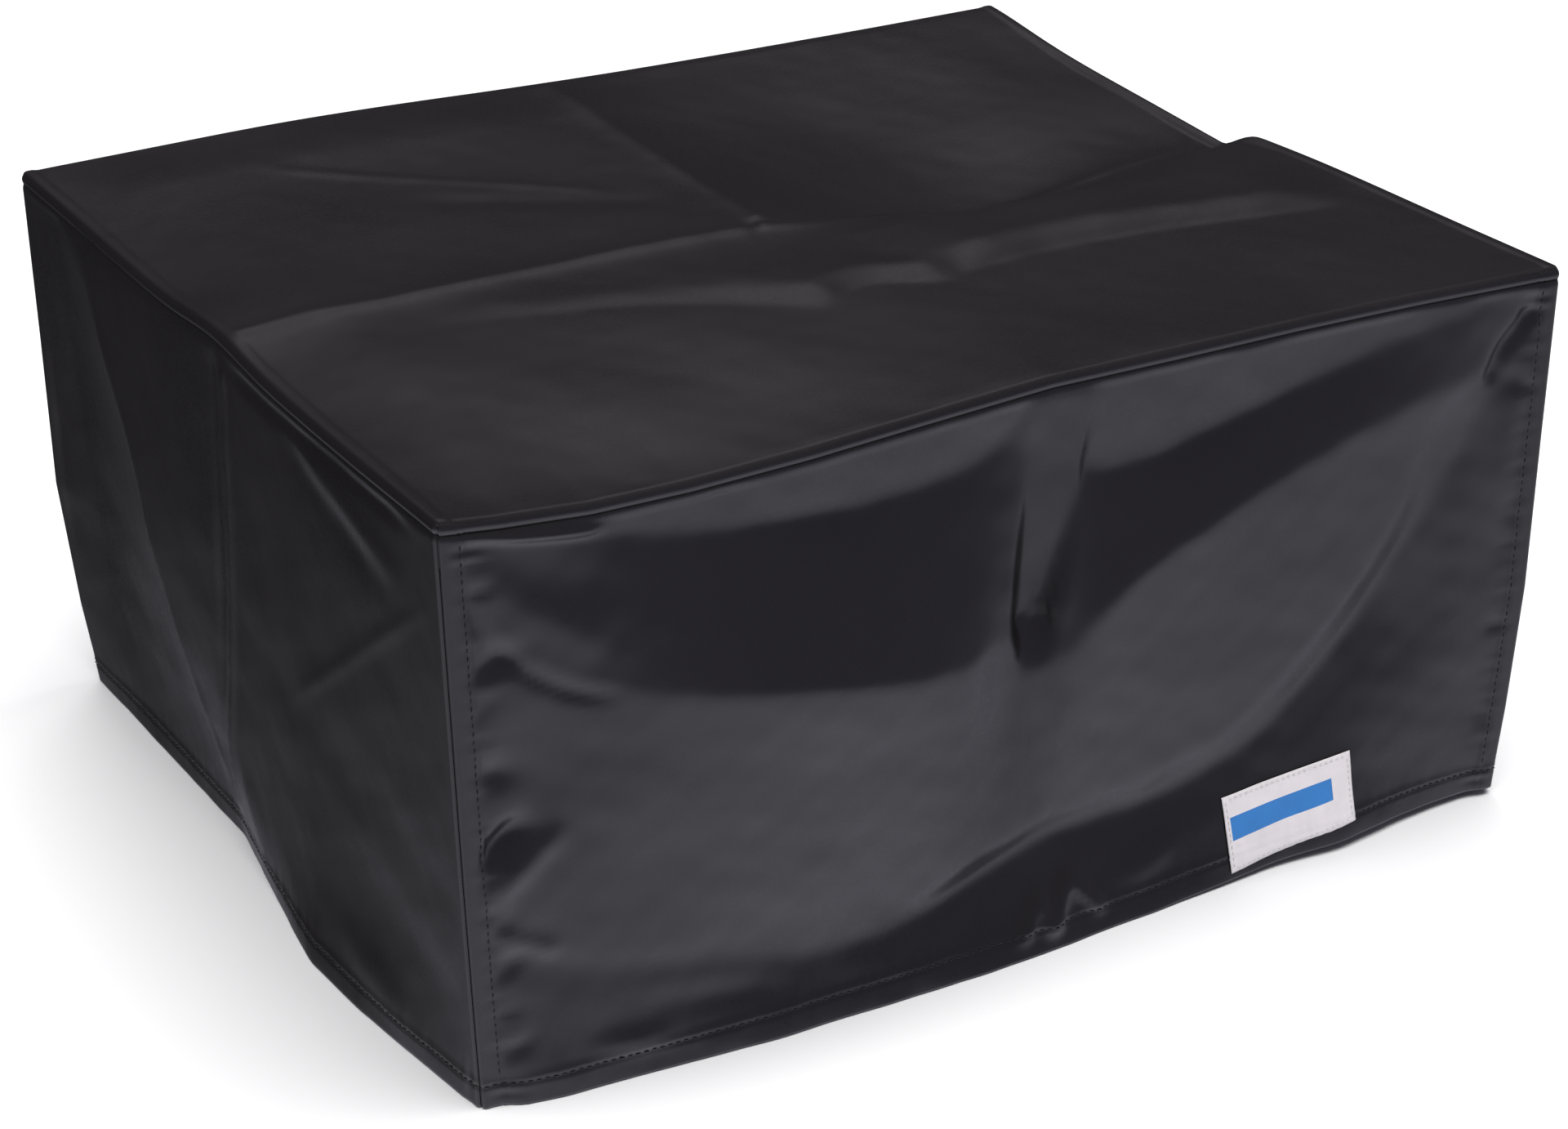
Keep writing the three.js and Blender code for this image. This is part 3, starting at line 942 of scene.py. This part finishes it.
def make_softbox(name, place_m, target_m, size_m, watts):
    """A lamp that lights the cover but isn't mirrored in its gloss."""
    data = bpy.data.lights.new(name, "AREA")
    data.shape = "RECTANGLE"
    data.size, data.size_y = size_m
    data.energy = watts
    lamp = bpy.data.objects.new(name, data)
    lamp.location = place_m
    aim(lamp, target_m)
    lamp.visible_glossy = False
    bpy.context.scene.collection.objects.link(lamp)


def make_camera():
    data = bpy.data.cameras.new("camera")
    data.lens = 82.4
    data.sensor_width = 36.0
    camera = bpy.data.objects.new("camera", data)
    camera.location = CAMERA_PLACE_M
    aim(camera, CAMERA_TARGET_M, CAMERA_ROLL)
    bpy.context.scene.collection.objects.link(camera)
    bpy.context.scene.camera = camera


def make_world():
    """A room for the gloss to mirror: dim walls and ceiling, a bright window, and the pale floor."""
    world = bpy.data.worlds.new("studio")
    world.use_nodes = True
    world.cycles.sampling_method = "NONE"
    tree = world.node_tree
    background = tree.nodes["Background"]
    direction = add(tree, "ShaderNodeTexCoord").outputs["Generated"]
    parts = add(tree, "ShaderNodeSeparateXYZ")
    tree.links.new(direction, parts.inputs[0])
    x, y, z = parts.outputs
    low = ramp(tree, z, 1, 0, *FLOOR_GLOW_EDGE)
    shade_x = math_node(tree, "MULTIPLY", x, SHADE_WAY[0])
    shade_y = math_node(tree, "MULTIPLY", y, SHADE_WAY[1])
    shade = math_node(tree, "ADD", shade_x, shade_y)
    glow = math_node(tree, "MULTIPLY", low, ramp(tree, shade, 1, 0, *SHADE_EDGE))
    walls = blend(tree, ramp(tree, y, 0, 1, *ROOM_EDGE), FRONT_ROOM, BACK_ROOM)
    walls = blend(tree, ramp(tree, z, 0, 1, *CEILING_EDGE), walls, CEILING)
    towards = add(tree, "ShaderNodeVectorMath", operation="DOT_PRODUCT")
    tree.links.new(direction, towards.inputs[0])
    towards.inputs[1].default_value = WINDOW_WAY
    walls = blend(tree, ramp(tree, towards.outputs["Value"], 0, 1, *WINDOW_EDGE), walls, WINDOW)
    nearby = blend(tree, ramp(tree, z, 1, 0, *NEAR_EDGE), FLOOR_GLOW, BRIGHT_FLOOR)
    nearby = blend(tree, ramp(tree, x, 0, 1, *DIM_EDGE), nearby, DIM_FLOOR)
    colour = blend(tree, glow, walls, nearby)
    seen = add(tree, "ShaderNodeLightPath").outputs["Is Camera Ray"]
    tree.links.new(blend(tree, seen, colour, (1, 1, 1)), background.inputs["Color"])
    bpy.context.scene.world = world


make_floor()
make_world()
make_softbox("overhead_softbox", (0.1, -0.5, 2.0), (0.0, -0.1, 0.0), (2.4, 1.8), 72)
make_softbox("left_fill", (-1.8, 0.5, 1.1), (0.0, 0.1, 0.1), (1.2, 1.2), 14)
make_softbox("back_fill", (0.5, 1.9, 1.5), (0.0, 0.2, 0.1), (1.6, 1.2), 22)
make_camera()
bpy.context.scene.view_settings.view_transform = "Standard"
